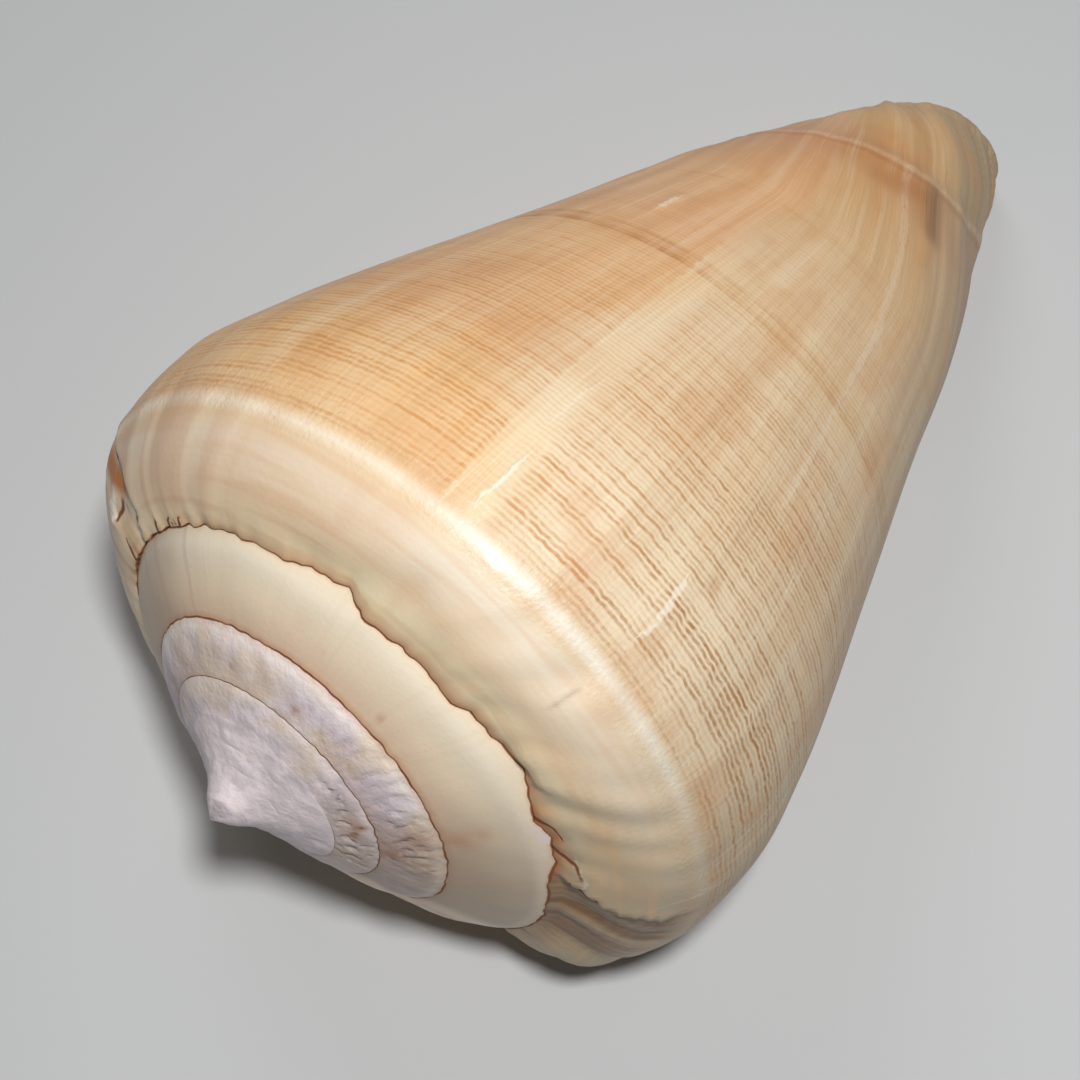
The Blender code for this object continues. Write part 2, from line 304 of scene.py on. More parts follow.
# Ridges and grooves of the last whorl. An item is a path, its half width and its height
RAMP_DENTS = [
    ([(-0.250, 0.030), (-0.225, 0.048), (-0.205, 0.066), (-0.187, 0.098)], 1.5, -0.20),
    ([(-0.375, 0.010), (-0.352, 0.020), (-0.335, 0.033), (-0.318, 0.046)], 1.5, -0.30),
    ([(-0.285, 0.046), (-0.24, 0.067), (-0.215, 0.088)], 1.6, 0.20),
    ([(-0.180, 0.012), (-0.165, 0.040), (-0.155, 0.080)], 1.0, -0.22)]
# Places where growth stopped: thin ridges and one shallow groove along the lip of that time
REST_RIDGES = [
    ([(-0.323, 0.128), (-0.322, 0.172)], 0.40, 0.10),
    ([(-0.246, 0.145), (-0.246, 0.200)], 0.40, 0.07),
    ([(-0.326, 0.11), (-0.327, 0.40), (-0.333, 0.55)], 1.6, -0.06),
    ([(-0.232, 0.34), (-0.234, 0.56), (-0.25, 0.65), (-0.265, 0.70), (-0.295, 0.77)], 0.5, 0.03),
    ([(-0.1655, 0.09), (-0.1655, 0.20)], 0.35, 0.06),
    ([(-0.395, 0.512), (-0.396, 0.536)], 0.7, 0.14)]
# The anterior end: a low ridge runs round it, with grooves beyond
FRONT_RIDGES = [
    ([(-0.60, 0.73), (-0.46, 0.735), (-0.36, 0.762), (-0.30, 0.776), (-0.27, 0.789), (-0.20, 0.802),
      (-0.10, 0.84)], 1.2, 0.12),
    ([(-0.33, 0.786), (-0.27, 0.802), (-0.20, 0.816), (-0.12, 0.845), (-0.05, 0.88)], 1.0, -0.16),
    ([(-0.65, 0.985), (-0.43, 0.94), (-0.376, 0.898), (-0.309, 0.847), (-0.277, 0.808)], 1.2, -0.13),
    ([(-0.144, 0.815), (-0.144, 0.820)], 4.0, -0.35)]
for path, width, height in RAMP_DENTS + REST_RIDGES + FRONT_RIDGES:
    relief += ridge(path, width, height)
# Coarse oblique growth ridges at the anterior end
relief += 0.16 * rough(new_growth * 36.0, new_s * 3.0, 12.0) * smooth((new_s - 0.74) / 0.06)
fade_in = smooth((stages[body:] + 1.0) / 0.04)
near_axis = smooth((1.0 - new_s) / 0.1)
relief = relief * fade_in * near_axis * smooth(new_arc / 1.6)

# An old break of the lip: the newer layer starts at a chipped edge and stands proud of the older one
BREAK = [(-0.536, -0.02), (-0.5355, 0.001), (-0.5335, 0.008), (-0.5245, 0.0245), (-0.5275, 0.040),
         (-0.5305, 0.0556), (-0.546, 0.0868), (-0.552, 0.105), (-0.56, 0.125), (-0.57, 0.16)]
BREAK_CHIPS = [
    ([(-0.5454, 0.0534), (-0.5504, 0.0467), (-0.5604, 0.0367)], 0.7, 0.25),
    ([(-0.570, 0.02), (-0.575, 0.08)], 3.5, 0.35), ([(-0.556, 0.08), (-0.565, 0.11)], 2.2, 0.35),
    ([(-0.545, 0.11), (-0.53, 0.17)], 3.0, 0.35), ([(-0.5432, 0.0367), (-0.556, 0.034)], 0.4, -0.30),
    ([(-0.60, 0.083), (-0.61, 0.108)], 0.7, 0.25)]
proud = 0.30 * smooth(signed_distance(BREAK) / 0.5 + 0.5) * (1.0 - smooth((new_turn + 0.50) / 0.12))
relief += proud * (1.0 - smooth((new_s - 0.10) / 0.07)) * smooth((new_turn + 0.75) / 0.1)
for path, width, height in BREAK_CHIPS:
    relief += ridge(path, width, height)

# The corner of the lip: beyond a crest the last stretch of the ramp lies lower. Just before it, two cracks
# run in from the suture
CREST = [(-0.132, 0.0), (-0.126, 0.017), (-0.116, 0.0345), (-0.111, 0.05), (-0.109, 0.0645),
         (-0.103, 0.081), (-0.098, 0.12)]
LIP_CRACKS = [[(-0.179, 0.0), (-0.174, 0.007), (-0.164, 0.009)],
              [(-0.154, 0.0), (-0.147, 0.007), (-0.144, 0.018), (-0.135, 0.022)]]
lower = smooth(signed_distance(CREST) / 0.7 + 0.3) * (1.0 - smooth((new_turn + 0.075) / 0.06))
lower = lower * (1.0 - smooth((new_s - 0.085) / 0.04))
relief -= 0.5 * lower * smooth(new_arc / 0.8)
relief += ridge(CREST[1:-1], 0.5, 0.15)
for path in LIP_CRACKS:
    relief += ridge(path, 0.35, -0.25) * smooth(new_arc / 0.5)

# The spire: low unevenness, and worn and pitted from its second whorl on
worn = smooth((-1.9 - old_turn) / 0.15)
old_relief = 0.16 * old_scale * rough(old_turn * 14.0, old_across * 2.5, 8.0)
old_relief += 0.05 * old_scale * rough(old_turn * 45.0, old_across * 1.5, 4.0)
old_around = old_turn * 2.0 * np.pi
old_x = old.real * np.cos(old_around)
old_y = old.real * np.sin(old_around)
scratched = 0.11 * worn * rough(old_x / 1.6, old_y / 1.6, 2.0)
old_relief += scratched + 0.03 * worn * rough(old_x / 0.6, old_y / 0.6, 7.0)
pits = smooth((rough(old_x / 0.55, old_y / 0.55, 3.3) - 0.20) / 0.12)
pitted = smooth((old_turn + 2.36) / 0.06) * (1.0 - smooth((old_turn + 2.12) / 0.05))
pitted = np.maximum(pitted, smooth((old_turn + 3.3) / 0.08) * (1.0 - smooth((old_turn + 3.08) / 0.05)))
old_relief -= 0.17 * pits * pitted
wrinkled = smooth((old_turn + 2.22) / 0.04) * (1.0 - smooth((old_turn + 2.08) / 0.05))
old_relief += 0.075 * wrinkled * rough(old_turn * 90.0, old_across * 3.0, 5.0)
old_relief = old_relief * np.sin(np.pi * old_across) ** 0.7

# The lip's edge is rounded over its last half millimetre
LIP_ROUND = 0.0026          # in turns
LIP_DROP = 0.45
into_lip = np.clip((stages[body:] + LIP_ROUND) / LIP_ROUND, 0.0, 1.0)
lip_drop = LIP_DROP * (1.0 - np.sqrt(1.0 - into_lip ** 2))
relief = relief - lip_drop * smooth(new_arc / 3.0) * smooth((1.0 - new_s) / 0.06)

old_points = old + normals(old) * old_relief
new_points = new + normals(new) * relief
roll_share = smooth((old_across - 0.80) / 0.20)
old_points = old_points + outer_shift[:body] * roll_share
inner_shift = np.zeros((rows + 1, 1), complex)
inner_shift[steps:] = outer_shift[:-steps]
fade_old = 1.0 - smooth(old_across / 0.22)
fade_new = 1.0 - smooth(new_arc / 2.4)
old_points = old_points + inner_shift[:body] * fade_old
new_points = new_points + inner_shift[body:] * fade_new

# Marks that the material draws: soft ones are strengths, and crisp ones are distances to their lines.
# An item is a path, its half width and its strength, and a crack or a line at the front is only a path
MARK_REACH = 3.0            # distances are kept up to this many millimetres
WHITE_STREAKS = [
    ([(-0.3235, 0.130), (-0.322, 0.150), (-0.3225, 0.168)], 0.0, 0.7),
    ([(-0.3265, 0.215), (-0.327, 0.26)], 0.0, 0.3),
    ([(-0.246, 0.15), (-0.2470, 0.175), (-0.2485, 0.198)], 0.15, 0.55),
    ([(-0.165, 0.106), (-0.1655, 0.165)], 0.0, 0.12), ([(-0.115, 0.085), (-0.115, 0.125)], 0.0, 0.18),
    ([(-0.232, 0.34), (-0.234, 0.56), (-0.25, 0.65)], 0.25, 0.16),
    ([(-0.25, 0.65), (-0.265, 0.70), (-0.285, 0.74), (-0.297, 0.775)], 0.25, 0.16),
    ([(-0.395, 0.512), (-0.396, 0.532)], 0.1, 0.45),
    ([(-0.5475, 0.0525), (-0.5515, 0.0467), (-0.5590, 0.0390)], 0.4, 0.9),
    ([(-0.60, 0.085), (-0.61, 0.108)], 0.1, 0.6), ([(-0.205, 0.275), (-0.207, 0.295)], 0.0, 0.3),
    ([(-0.145, 0.019), (-0.133, 0.024)], 0.25, 0.3)]
BROWN_STAINS = [
    ([(-0.238, 0.215), (-0.238, 0.224)], 0.6, 0.5), ([(-0.268, 0.092), (-0.268, 0.093)], 0.6, 0.22),
    ([(-0.245, 0.082), (-0.245, 0.083)], 0.6, 0.2), ([(-0.31, 0.73), (-0.27, 0.757)], 1.8, 0.45),
    ([(-0.536, 0.050), (-0.547, 0.066), (-0.560, 0.090), (-0.563, 0.105), (-0.57, 0.13)], 0.9, 0.95),
    ([(-0.555, 0.005), (-0.545, 0.02)], 1.0, 0.4), ([(-0.41, 0.45), (-0.36, 0.45)], 3.0, 0.12),
    ([(-0.185, 0.0), (-0.172, 0.004), (-0.12, 0.0)], 0.55, 0.7)]
DARK_STAINS = [
    ([(-0.222, 0.67), (-0.235, 0.72)], 1.0, 0.25), ([(-0.25, 0.780), (-0.20, 0.798)], 1.0, 0.3),
    ([(-0.238, 0.725), (-0.248, 0.755), (-0.255, 0.775)], 1.7, 0.52),
    ([(-0.025, 0.003), (-0.025, 0.004)], 0.6, 0.8), ([(-0.2465, 0.064), (-0.2445, 0.088)], 0.35, 0.42),
    ([(-0.120, 0.006), (-0.110, 0.03)], 0.5, 0.4), ([(-0.6, 0.0), (-0.57, 0.0)], 0.6, 0.4)]
CRACKS = [
    BREAK[:-2], [(-0.5432, 0.0400), (-0.5500, 0.0350), (-0.556, 0.034)], [(-0.509, 0.0), (-0.5065, 0.009)],
    [(-0.493, 0.0), (-0.4905, 0.007)], [(-0.480, 0.0), (-0.4785, 0.005)], [(-0.612, 0.094), (-0.613, 0.118)],
    [(-0.568, 0.0), (-0.560, 0.012)], *LIP_CRACKS, [(-0.126, 0.017), (-0.117, 0.033)]]
FRONT_CREST = [(-0.60, 0.73), (-0.46, 0.735), (-0.36, 0.760), (-0.30, 0.774), (-0.27, 0.788),
               (-0.20, 0.801), (-0.10, 0.84), (0.0, 0.90)]
FRONT_GROOVE = [(-0.52, 0.975), (-0.43, 0.94), (-0.376, 0.898), (-0.309, 0.847), (-0.277, 0.803)]
# Spots of the older whorls: stage, share across the ramp, size in millimetres and strength
OLD_BROWN_SPOTS = [(-1.155, 0.17, 0.9, 0.55), (-1.165, 0.40, 0.7, 0.45), (-2.15, 0.7, 1.2, 0.4),
                   (-1.36, 0.5, 0.7, 0.12), (-1.50, 0.7, 0.8, 0.15), (-3.17, 0.6, 0.5, 0.5)]
OLD_DARK_SPOTS = [(-1.337, 0.37, 0.22, 0.8), (-1.277, 0.20, 0.2, 0.6), (-2.115, 0.2, 0.8, 0.6),
                  (-2.33, 0.3, 0.3, 0.7), (-3.14, 0.5, 0.32, 1.0), (-3.16, 0.75, 0.3, 1.0),
                  (-3.155, 0.62, 0.25, 0.8), (-2.42, 0.35, 0.25, 0.5)]
OLD_WHITE_PATCHES = [(-1.163, 0.90, 0.8), (-1.150, 0.86, 0.5), (-2.195, 0.5, 0.6), (-2.20, 0.7, 0.5),
                     (-2.31, 0.45, 0.2)]


def smear(items):
    """Strongest of several soft strokes on the last whorl."""
    result = np.zeros(new.shape)
    for path, width, strength in items:
        result = np.maximum(result, strength * np.exp(-(near(path)[0] / width) ** 2))
    return result


def nearest(items):
    """Signed and plain distance to the nearest of several lines on the last whorl, and its strength."""
    away = np.full(new.shape, 3.0 * MARK_REACH)
    signed = away
    strength = np.zeros(new.shape)
    for path, half, own in items:
        distance, which = near(path)
        distance = np.maximum(distance - half, 0.0)
        signed = np.where(distance < away, distance * which, signed)
        strength = np.where(distance < away, own, strength)
        away = np.minimum(away, distance)
    return np.clip(signed, -MARK_REACH, MARK_REACH), away, strength


def from_spot(turn, across):
    """Distance in millimetres from each vertex of the older whorls to a spot."""
    around = (old_turn - turn) * 2.0 * np.pi * old.real
    return np.hypot(around, (old_across - across) * np.abs(old[:, -1:] - old[:, :1]))


def spotted(items):
    """Strongest of several soft spots on the older whorls."""
    result = np.zeros(old.shape)
    for turn, across, size, strength in items:
        result = np.maximum(result, strength * np.exp(-(from_spot(turn, across) / size) ** 2))
    return result


white_side, white_away, white_zone = nearest(WHITE_STREAKS)
white_zone = white_zone * (1.0 - smooth((white_away - 0.4) / 0.9))
crack_side, crack_away, _ = nearest([(path, 0.0, 1.0) for path in CRACKS])
crack_away = np.minimum(crack_away, MARK_REACH)
front_ridge = np.clip(signed_distance(FRONT_CREST), -MARK_REACH, MARK_REACH)
front_groove = np.clip(near(FRONT_GROOVE)[0], 0.0, MARK_REACH)
# The newer layer covers the stain at the break. The low stretch at the lip's corner is darker: partly dirt,
# and partly painted shade in that hollow
covered = smooth(signed_distance(BREAK) / 0.6 + 0.5) * smooth((-0.45 - new_turn) / 0.03)
brown_marks = smear(BROWN_STAINS) * (1.0 - covered)
dirt_and_shade = lower * (0.60 + 0.6 * rough(new_growth * 150.0, new_s * 7.0, 21.0))
dark_marks = np.maximum(smear(DARK_STAINS), dirt_and_shade)
old_brown = spotted(OLD_BROWN_SPOTS)
old_dark = spotted(OLD_DARK_SPOTS)
old_white = np.full(old.shape, MARK_REACH)
for turn, across, size in OLD_WHITE_PATCHES:
    old_white = np.minimum(old_white, np.maximum(from_spot(turn, across) - size, 0.0))

# The apex leans a little and comes to a blunt point
APEX_LEAN = -0.45
APEX_HEIGHT = -2.75
APEX_LEAN_REACH = 6.0
APEX_BLUNT = -0.5
APEX_BLUNT_AT = 1.2
APEX_BLUNT_WIDTH = 0.95


def place(points, turn):
    """Points of sections at their turns, as coordinates in metres in the shell's own frame."""
    angle = 2.0 * np.pi * turn
    lean = APEX_LEAN * np.exp(-points.real / APEX_LEAN_REACH) * (turn < -1.0)
    blunt = APEX_BLUNT * np.exp(-((points.real - APEX_BLUNT_AT) / APEX_BLUNT_WIDTH) ** 2) * (turn < -1.0)
    flat = points.real * np.cos(angle) + lean, points.real * np.sin(angle), points.imag + blunt
    return np.stack(np.broadcast_arrays(*flat), axis=-1) * MILLIMETRE


old_places = place(old_points, stages[:body])
new_places = place(new_points, stages[body:])
spots = []
index = {}
for i in range(rows + 1):
    points = new_places[i - body] if i >= body else old_places[i]
    for j, point in enumerate(points.tolist()):
        if j == 0 and i >= steps:
            index[i, 0] = index[i - steps, RAMP_COLUMNS]
            continue
        index[i, j] = len(spots)
        spots.append(point)
last = new.shape[1] - 1
tip = len(spots)
spots.append((0.0, 0.0, TIP_CENTRE * MILLIMETRE))
apex = len(spots)
spots.append((APEX_LEAN * MILLIMETRE, 0.0, APEX_HEIGHT * MILLIMETRE))

# The marks ride on the mesh as six maps of two numbers each. The older whorls have white patches in place
# of streaks, and no cracks
OLD_WHITE_ZONE = 0.75
faces = []
face_marks = []
nothing = np.zeros(old.shape)
far = nothing + MARK_REACH
old_marks = np.stack([old_turn, old_white, old_turn, old_s, old_across, nothing + OLD_WHITE_ZONE,
                      far, far, far, far, old_brown, old_dark], axis=-1)
ramp_across = np.append(ramp_shares, np.full(last - RAMP_COLUMNS, ATTACH)) / ATTACH
ramp_across = np.broadcast_to(np.minimum(ramp_across, 1.0), new.shape)
new_marks = np.stack([new_turn, white_side, new_growth, new_s, ramp_across, white_zone,
                      crack_side, crack_away, front_ridge, front_groove, brown_marks, dark_marks], axis=-1)


def mark(i, j):
    return new_marks[i - body, j] if i >= body else old_marks[i, j]


def add_face(*corners):
    """One face between vertices of the sections, by row and column, or the two points on the axis."""
    faces.append([index[c] if isinstance(c, tuple) else c for c in corners])
    known = [mark(*c) for c in corners if isinstance(c, tuple)]
    middle = sum(known) / len(known)
    face_marks.append([mark(*c) if isinstance(c, tuple) else middle for c in corners])


for i in range(rows):
    width = RAMP_COLUMNS if i < body else last
    for j in range(width):
        add_face((i, j), (i + 1, j), (i + 1, j + 1), (i, j + 1))
    if i >= body:
        add_face((i, last), (i + 1, last), tip)
# The apex is closed with a fan, and the lip with faces to the section one turn before it
ring = [(i, 0) for i in range(steps + 1)] + [(0, j) for j in range(RAMP_COLUMNS - 1, -1, -1)]
for a, b in zip(ring, ring[1:]):
    add_face(apex, b, a)
for j in range(RAMP_COLUMNS + 1):
    add_face((body, RAMP_COLUMNS + 1), (rows, j), (rows, j + 1))
for j in range(RAMP_COLUMNS + 1, last):
    add_face((rows, j), (rows, j + 1), (body, j + 1), (body, j))
add_face((rows, last), tip, (body, last))

shell_mesh = bpy.data.meshes.new("oak_cone_shell")
shell_mesh.from_pydata(spots, [], faces)
flat_marks = np.array([m for corner in face_marks for m in corner])
MARK_MAPS = ("coil", "growth", "across", "cracks", "front", "stains_and_shade")
for k, label in enumerate(MARK_MAPS):
    layer = shell_mesh.uv_layers.new(name=label)
    layer.data.foreach_set("uv", flat_marks[:, 2 * k:2 * k + 2].astype(np.float32).ravel())


def finish_mesh(mesh):
    bm = bmesh.new()
    bm.from_mesh(mesh)
    bmesh.ops.triangulate(bm, faces=bm.faces)
    bmesh.ops.recalc_face_normals(bm, faces=bm.faces)
    bm.to_mesh(mesh)
    bm.free()


finish_mesh(shell_mesh)
shell = bpy.data.objects.new("oak_cone_shell", shell_mesh)
bpy.context.scene.collection.objects.link(shell)

# The space inside: under the last whorl's wall and over the whorl before it, where a thin glaze lies.
# It is cut out of the shell with a closed solid, which runs out past the lip and opens the mouth
LIP_THICKNESS = 1.2
WALL = 2.3
LIP_TAPER = 0.10
GLAZE = 0.5
GLAZE_AT_LIP = 0.06
COLUMELLA = 1.9
MOUTH_BACK = 0.30
MOUTH_TURNOVER = 0.97
SIDE_START = 0.02
LEAST_GAP = 0.6
MOUTH_DEPTH = -0.8375
MOUTH_FRONT = 0.0375
CANAL_OPEN = -0.28
CANAL_SHUT = -0.42
CANAL_END = 0.88
CANAL_CAP = 1.5
CANAL_RUN_OUT = 12.0
CHORD = 0.01
INSIDE_ROWS = 84
INSIDE_RAMP_COLUMNS = 12
INSIDE_SIDE_COLUMNS = 44
LIP_INSIDE_ROWS = (-0.0047, -0.0031, -0.0021, -0.0014, -0.0009, -0.0004, 0.0001)
LIP_INSIDE_DROP = 0.35

inside_rows = np.linspace(MOUTH_DEPTH, -0.0073, INSIDE_ROWS)
inside_rows = np.concatenate([inside_rows, LIP_INSIDE_ROWS, np.linspace(0.004, MOUTH_FRONT, 7)])[:, None]
stage = np.minimum(inside_rows, 0.0)
thin = smooth(-stage / LIP_TAPER)
into_lip = np.clip((stage + LIP_ROUND) / LIP_ROUND, 0.0, 1.0)
wall = LIP_THICKNESS + (WALL - LIP_THICKNESS) * thin - LIP_INSIDE_DROP * (1.0 - np.sqrt(1.0 - into_lip ** 2))
opening = smooth((stage - CANAL_SHUT) / (CANAL_OPEN - CANAL_SHUT))


def inward(curve, share, distance):
    """Points under a curve of the sections, at a distance from it."""
    along = curve(stage, share + CHORD) - curve(stage, share - CHORD)
    return curve(stage, share) + distance * 1j * along / np.abs(along)


ramp_part = np.arange(INSIDE_RAMP_COLUMNS) / INSIDE_RAMP_COLUMNS
ramp_part = MOUTH_BACK + (MOUTH_TURNOVER - MOUTH_BACK) * ramp_part[None, :]
reach = CANAL_END + (RIM - CANAL_END) * opening
side_part = SIDE_START + (reach - SIDE_START) * np.linspace(0.0, 1.0, INSIDE_SIDE_COLUMNS)[None, :]
outer_line = np.concatenate([inward(ramp, ramp_part, wall), inward(side, side_part, wall)], axis=1)
canal = outer_line[:, -1:] + 1j * (CANAL_CAP + CANAL_RUN_OUT * opening)
outer_line = np.concatenate([outer_line, canal], axis=1)
glaze = GLAZE_AT_LIP + (GLAZE - GLAZE_AT_LIP) * thin
inner_line = np.zeros(outer_line.shape, complex)
for i in range(len(stage)):
    before = section(stage[i:i + 1] - 1.0)[0, RAMP_COLUMNS:]
    before = np.append(before, [1j * TIP_CENTRE])
    radius = np.interp(outer_line[i].imag, before.imag, before.real) + glaze[i]
    radius = np.maximum(radius, COLUMELLA)
    inner_line[i] = np.minimum(radius, outer_line[i].real - LEAST_GAP) + 1j * outer_line[i].imag
loops = np.concatenate([outer_line, inner_line[:, ::-1]], axis=1)
count = loops.shape[1]
cutter_spots = place(loops, inside_rows).reshape(-1, 3).tolist()
cutter_faces = []
for i in range(len(loops) - 1):
    for j in range(count):
        k = (j + 1) % count
        cutter_faces.append((i * count + j, i * count + k, (i + 1) * count + k, (i + 1) * count + j))
for first in (0, (len(loops) - 1) * count):
    for j in range(count // 2 - 1):
        cutter_faces.append((first + j, first + j + 1, first + count - j - 2, first + count - j - 1))
cutter_mesh = bpy.data.meshes.new("inside_cutter")
cutter_mesh.from_pydata(cutter_spots, [], cutter_faces)
finish_mesh(cutter_mesh)
cutter = bpy.data.objects.new("inside_cutter", cutter_mesh)
bpy.context.scene.collection.objects.link(cutter)


def add(tree, kind, values=(), **settings):
    """One shader node with its settings. Values go to its inputs, by name or number, as numbers or links."""
    node = tree.nodes.new("ShaderNode" + kind)
    for name, value in settings.items():
        setattr(node, name, value)
    for name, value in dict(values).items():
        if isinstance(value, bpy.types.NodeSocket):
            tree.links.new(value, node.inputs[name])
        else:
            node.inputs[name].default_value = value
    return node


def calc(tree, operation, a, b=0.0, c=0.0):
    return add(tree, "Math", {0: a, 1: b, 2: c}, operation=operation).outputs[0]


def positive(tree, value):
    return calc(tree, "MAXIMUM", value, 0.0)


def times(tree, *factors):
    result = factors[0]
    for factor in factors[1:]:
        result = calc(tree, "MULTIPLY", result, factor)
    return result


def linear(colour):
    """A colour as a socket takes it, from red, green and blue between 0 and 255 as a screen shows them."""
    return (*(((c / 255.0 + 0.055) / 1.055) ** 2.4 for c in colour), 1.0)


def blend(tree, amount, a, b):
    """A where the amount is 0 and b where it is 1. Each is a link or a colour as red, green and blue."""
    node = add(tree, "Mix", {0: amount}, data_type="RGBA")
    for name, value in ((6, a), (7, b)):
        if isinstance(value, bpy.types.NodeSocket):
            tree.links.new(value, node.inputs[name])
        else:
            node.inputs[name].default_value = linear(value)
    return node.outputs[2]


def step(tree, value, start, end, low=0.0, high=1.0):
    """Smooth change from low to high while the value goes from start to end."""
    values = {0: value, 1: start, 2: end, 3: low, 4: high}
    return add(tree, "MapRange", values, interpolation_type="SMOOTHSTEP", clamp=False).outputs[0]


def gradient(tree, value, stops):
    """Colours along a value. A stop is a place and a colour."""
    node = add(tree, "ValToRGB", {0: value})
    elements = node.color_ramp.elements
    elements[0].position, elements[0].color = stops[0][0], linear(stops[0][1])
    elements[1].position, elements[1].color = stops[-1][0], linear(stops[-1][1])
    for at, colour in stops[1:-1]:
        elements.new(at).color = linear(colour)
    return node.outputs[0]


def levels(tree, value, stops):
    """Strength along a value. A stop is a place and a strength, which the ramp keeps as its alpha."""
    node = add(tree, "ValToRGB", {0: value})
    elements = node.color_ramp.elements
    elements[0].position, elements[0].alpha = stops[0]
    elements[1].position, elements[1].alpha = stops[-1]
    for at, level in stops[1:-1]:
        elements.new(at).alpha = level
    return node.outputs["Alpha"]


def cloud(tree, place, scale, detail=2.0, roughness=0.5):
    values = {"Vector": place, "Scale": scale, "Detail": detail, "Roughness": roughness}
    return add(tree, "TexNoise", values).outputs[0]


def stretch(tree, place, x, y):
    return add(tree, "Mapping", {"Vector": place, "Scale": (x, y, 1.0)}).outputs[0]


def centred(tree, value):
    return calc(tree, "SUBTRACT", value, 0.5)


def unsigned(tree, value):
    return calc(tree, "ABSOLUTE", value)


def greatest(tree, a, b):
    return calc(tree, "MAXIMUM", a, b)


def map_of(tree, label):
    """A map of the mesh, as a place and as its two numbers."""
    place = add(tree, "UVMap", uv_map=label).outputs[0]
    return place, *add(tree, "SeparateXYZ", {0: place}).outputs[:2]


# The look of the outside is drawn by position: along the growth, across the whorl and in solid space
outside = bpy.data.materials.new("shell_outside")
outside.use_nodes = True
tree = outside.node_tree
surface = tree.nodes["Principled BSDF"]
coil_place, turn_at, white_at = map_of(tree, "coil")
growth_place, growth_at, s_at = map_of(tree, "growth")
_, across_at, white_zone = map_of(tree, "across")
_, crack_at, crack_far = map_of(tree, "cracks")
_, ridge_at, groove_at = map_of(tree, "front")
_, brown_at, dark_at = map_of(tree, "stains_and_shade")
solid_place = add(tree, "TexCoord").outputs["Object"]
last_whorl = step(tree, turn_at, -1.0, -0.98)


def growth_cloud(around, along, detail, roughness=0.5):
    """Noise that follows the growth lines, with its fineness around the coil and along the lines."""
    return cloud(tree, stretch(tree, growth_place, around, along), 1.0, detail, roughness)


# Ground of the last whorl: cream ramp, white shoulder line, then tan, in two tones that change along the
# coil. The places are shares of the section's arc, and a band's share grows a little with each turn
PLACE_SLIP = 0.04
EARLY_GROUND = [
    (0.0, (206, 148, 110)), (0.007, (238, 196, 154)), (0.018, (255, 232, 192)), (0.045, (240, 214, 182)),
    (0.08, (236, 216, 192)), (0.097, (232, 206, 170)), (0.106, (246, 230, 208)), (0.114, (236, 204, 160)),
    (0.135, (232, 192, 142)), (0.19, (232, 192, 140)), (0.27, (229, 183, 136)), (0.33, (230, 185, 138)),
    (0.43, (234, 190, 141)), (0.455, (231, 184, 136)), (0.52, (231, 183, 139)), (0.62, (231, 183, 134)),
    (0.70, (222, 167, 119)), (0.76, (219, 164, 122)), (0.84, (231, 186, 134)), (1.0, (226, 182, 154))]
LATE_GROUND = [
    (0.0, (208, 156, 116)), (0.007, (238, 200, 158)), (0.018, (255, 240, 202)), (0.045, (234, 210, 178)),
    (0.08, (238, 226, 206)), (0.097, (234, 214, 184)), (0.106, (246, 238, 224)), (0.114, (233, 211, 178)),
    (0.135, (237, 217, 187)), (0.19, (242, 222, 190)), (0.30, (236, 208, 170)), (0.43, (232, 206, 170)),
    (0.455, (232, 204, 162)), (0.52, (230, 200, 162)), (0.62, (221, 187, 142)), (0.70, (218, 172, 120)),
    (0.76, (206, 148, 98)), (0.84, (222, 178, 122)), (1.0, (208, 172, 136))]
GREY_CREAM_AND_SHADE = (198, 178, 146)
SHADED_LIP = (140, 122, 96)
spiral = calc(tree, "SUBTRACT", s_at, times(tree, calc(tree, "ADD", turn_at, 0.3), PLACE_SLIP))
early_ground = gradient(tree, spiral, EARLY_GROUND)
late_ground = gradient(tree, spiral, LATE_GROUND)
tone_cloud = times(tree, centred(tree, growth_cloud(9.0, 5.0, 0.0)), 0.10)
tone_at = calc(tree, "ADD", growth_at, tone_cloud)
colour = blend(tree, step(tree, tone_at, -0.352, -0.320), early_ground, late_ground)
# Towards the lip the ground turns grey cream, partly the shell's own tone and partly painted shade, and the
# last stretch before the lip is painted darker as shade
colour = blend(tree, step(tree, tone_at, -0.235, -0.12, 0.0, 0.62), colour, GREY_CREAM_AND_SHADE)
colour = blend(tree, step(tree, growth_at, -0.18, -0.09, 0.0, 0.42), colour, SHADED_LIP)

# Fine brown threads round the coil, each of its own strength, bent where growth ridges cross them.
# A cream band where growth rested breaks them off
THREADS = 204.0             # threads in the whole arc
EARLY_THREAD = (203, 134, 63)
LATE_THREAD = (170, 118, 62)
THREAD_STRENGTHS = [
    (0.0, 0.0), (0.1135, 0.0), (0.117, 0.55), (0.122, 0.65), (0.129, 0.6), (0.138, 0.95), (0.143, 0.7),
    (0.150, 0.85), (0.163, 0.7), (0.176, 0.85), (0.183, 1.0), (0.190, 0.8), (0.205, 0.65), (0.225, 0.75),
    (0.245, 0.7), (0.270, 0.55), (0.288, 0.8), (0.300, 0.6), (0.325, 0.7), (0.36, 0.55), (0.42, 0.4),
    (0.452, 0.40), (0.48, 0.22), (0.54, 0.2), (0.64, 0.08), (0.72, 0.0)]
bend = centred(tree, growth_cloud(190.0, 30.0, 1.5))
bend_size = step(tree, turn_at, -0.33, -0.22, 0.0034, 0.0050)
thread_place = times(tree, calc(tree, "ADD", spiral, times(tree, bend, bend_size)), THREADS)
thread_number = calc(tree, "FLOOR", thread_place)
in_thread = unsigned(tree, centred(tree, calc(tree, "FRACT", thread_place)))
thread_own = {"Vector": stretch(tree, coil_place, 16.0, 0.0), "W": times(tree, thread_number, 5.37),
              "Scale": 1.0, "Detail": 0.0}
